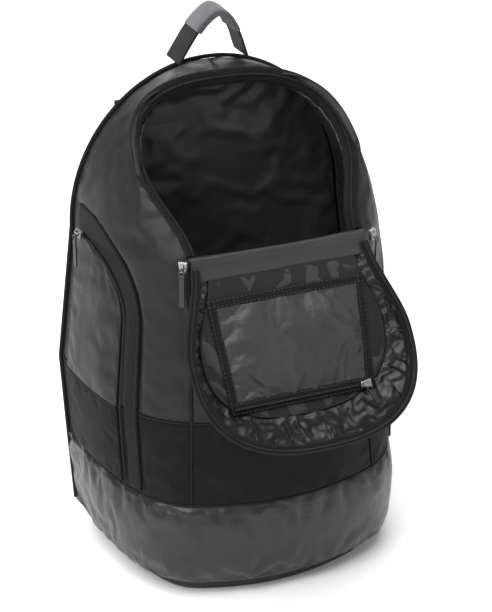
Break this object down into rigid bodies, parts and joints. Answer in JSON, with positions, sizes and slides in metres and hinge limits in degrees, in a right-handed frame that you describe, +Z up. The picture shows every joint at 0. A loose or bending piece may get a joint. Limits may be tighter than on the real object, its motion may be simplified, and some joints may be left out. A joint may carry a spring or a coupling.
{
  "type": "racket backpack",
  "caption": "Backpack for rackets: an upright body with a full-width front flap, a racket compartment, side pockets, a grab handle and padded shoulder straps.",
  "frame": {"origin": "on the floor under the middle of the base, in the bag's middle plane; the base stands on z = 0", "axes": "+Z up the bag, -Y out of the front where the flap hangs, +X to the right seen from the front"},
  "size_m": [0.3332, 0.3353, 0.5443],
  "materials": {
    "coated_cloth": "matte polyurethane-coated woven cloth",
    "woven_cloth": "fine plain-weave polyester",
    "lining": "thin slightly glossy polyester lining",
    "tape": "ribbed grosgrain binding and zip tape",
    "zip_teeth": "moulded coil",
    "webbing": "flat polyester webbing",
    "handle_wrap": "padded knit sleeve",
    "base_plastic": "heavy coated base cloth over foam",
    "stiffener": "foam and plastic board",
    "mesh": "spacer mesh over foam",
    "buckle": "moulded acetal",
    "zip_metal": "black lacquered zinc"
  },
  "bodies": {
    "bag": {"base_tub": "base_plastic", "base_board": "stiffener", "bottom_band": "coated_cloth", "mid_band_front": "woven_cloth", "mid_band_left": "woven_cloth", "mid_band_right": "woven_cloth", "front_panel": "coated_cloth", "front_lining": "lining", "side_panel_left": "coated_cloth", "side_panel_right": "coated_cloth", "side_lining_left": "lining", "side_lining_right": "lining", "back_panel": "woven_cloth", "back_board": "stiffener", "back_lining": "lining", "back_piping": "tape", "back_pad_left": "mesh", "back_pad_right": "mesh", "lumbar_pad": "mesh", "strap_yoke": "woven_cloth", "main_zip_tape": "tape", "main_zip_teeth": "zip_teeth", "handle_feet": "webbing", "pocket_welt_left": "tape", "pocket_welt_right": "tape", "pocket_teeth_left": "zip_teeth", "pocket_teeth_right": "zip_teeth", "lower_webbing_left": "webbing", "lower_webbing_right": "webbing", "strap_wing_left": "woven_cloth", "strap_wing_right": "woven_cloth"},
    "flap": {"flap_panel": "coated_cloth", "flap_wall": "lining", "flap_lining": "lining", "flap_zip_tape": "tape", "flap_zip_teeth": "zip_teeth", "pocket_cloth": "lining", "pocket_frame": "tape", "pocket_zip_teeth": "zip_teeth"},
    "pocket_slider": {"pocket_slider": "zip_metal"},
    "pocket_puller": {"pocket_puller": "zip_metal"},
    "handle": {"handle_webbing": "webbing", "handle_wrap": "handle_wrap"},
    "door_left": {"door_upper_left": "coated_cloth", "door_lower_left": "woven_cloth"},
    "main_slider_left": {"main_slider_left": "zip_metal"},
    "main_puller_left": {"main_puller_left": "zip_metal"},
    "side_slider_left": {"side_slider_left": "zip_metal"},
    "side_puller_left": {"side_puller_left": "zip_metal"},
    "strap_left": {"shoulder_strap_left": "woven_cloth", "ladder_lock_left": "buckle"},
    "door_right": {"door_upper_right": "coated_cloth", "door_lower_right": "woven_cloth"},
    "main_slider_right": {"main_slider_right": "zip_metal"},
    "main_puller_right": {"main_puller_right": "zip_metal"},
    "side_slider_right": {"side_slider_right": "zip_metal"},
    "side_puller_right": {"side_puller_right": "zip_metal"},
    "strap_right": {"shoulder_strap_right": "woven_cloth", "ladder_lock_right": "buckle"}
  },
  "joints": [
    {"name": "flap_hinge", "type": "hinge", "parent": "bag", "child": "flap", "pos_m": [0, -0.0975, 0.361], "axis": [-1, 0, 0], "range_deg": [0, 190.9]},
    {"name": "pocket_zip_slide", "type": "slide", "parent": "flap", "child": "pocket_slider", "axis": [-1, 0, 0], "range_m": [0, 0.124]},
    {"name": "pocket_puller_swing", "type": "hinge", "parent": "pocket_slider", "child": "pocket_puller", "pos_m": [0.062, -0.16639, 0.23714], "axis": [-1, 0, 0], "range_deg": [0, 60]},
    {"name": "main_zip_slide_left", "type": "slide", "parent": "bag", "child": "main_slider_left", "axis": [0, 0.72, 0.694], "range_m": [0, 0.008]},
    {"name": "main_puller_swing_left", "type": "hinge", "parent": "main_slider_left", "child": "main_puller_left", "pos_m": [-0.099, -0.1045, 0.3571], "axis": [-0.8, 0.6, 0], "range_deg": [0, 70]},
    {"name": "door_swing_left", "type": "hinge", "parent": "bag", "child": "door_left", "pos_m": [-0.1665, 0.0531, 0.195], "axis": [-0.1223, -0.0095, -0.9924], "range_deg": [0, 60]},
    {"name": "side_zip_slide_left", "type": "slide", "parent": "door_left", "child": "side_slider_left", "axis": [0.0999, -0.969, -0.2258], "range_m": [0, 0.045]},
    {"name": "side_puller_swing_left", "type": "hinge", "parent": "side_slider_left", "child": "side_puller_left", "pos_m": [-0.15645, 0.03623, 0.345], "axis": [-0.1701, 0.9854, 0], "range_deg": [0, 70]},
    {"name": "strap_swing_left", "type": "hinge", "parent": "bag", "child": "strap_left", "pos_m": [-0.052, 0.0839, 0.453], "axis": [1, 0, 0], "range_deg": [0, 12]},
    {"name": "main_zip_slide_right", "type": "slide", "parent": "bag", "child": "main_slider_right", "axis": [0, 0.72, 0.694], "range_m": [0, 0.008]},
    {"name": "main_puller_swing_right", "type": "hinge", "parent": "main_slider_right", "child": "main_puller_right", "pos_m": [0.099, -0.1045, 0.3571], "axis": [-0.8, -0.6, 0], "range_deg": [0, 70]},
    {"name": "door_swing_right", "type": "hinge", "parent": "bag", "child": "door_right", "pos_m": [0.1665, 0.0531, 0.195], "axis": [-0.1223, 0.0095, 0.9924], "range_deg": [0, 60]},
    {"name": "side_zip_slide_right", "type": "slide", "parent": "door_right", "child": "side_slider_right", "axis": [-0.0999, -0.969, -0.2258], "range_m": [0, 0.045]},
    {"name": "side_puller_swing_right", "type": "hinge", "parent": "side_slider_right", "child": "side_puller_right", "pos_m": [0.15645, 0.03623, 0.345], "axis": [-0.1701, -0.9854, 0], "range_deg": [0, 70]},
    {"name": "strap_swing_right", "type": "hinge", "parent": "bag", "child": "strap_right", "pos_m": [0.052, 0.0839, 0.453], "axis": [1, 0, 0], "range_deg": [0, 12]},
    {"name": "handle_swing", "type": "hinge", "parent": "bag", "child": "handle", "pos_m": [0, 0.078, 0.4905], "axis": [1, 0, 0], "range_deg": [-40, 17]}
  ]
}
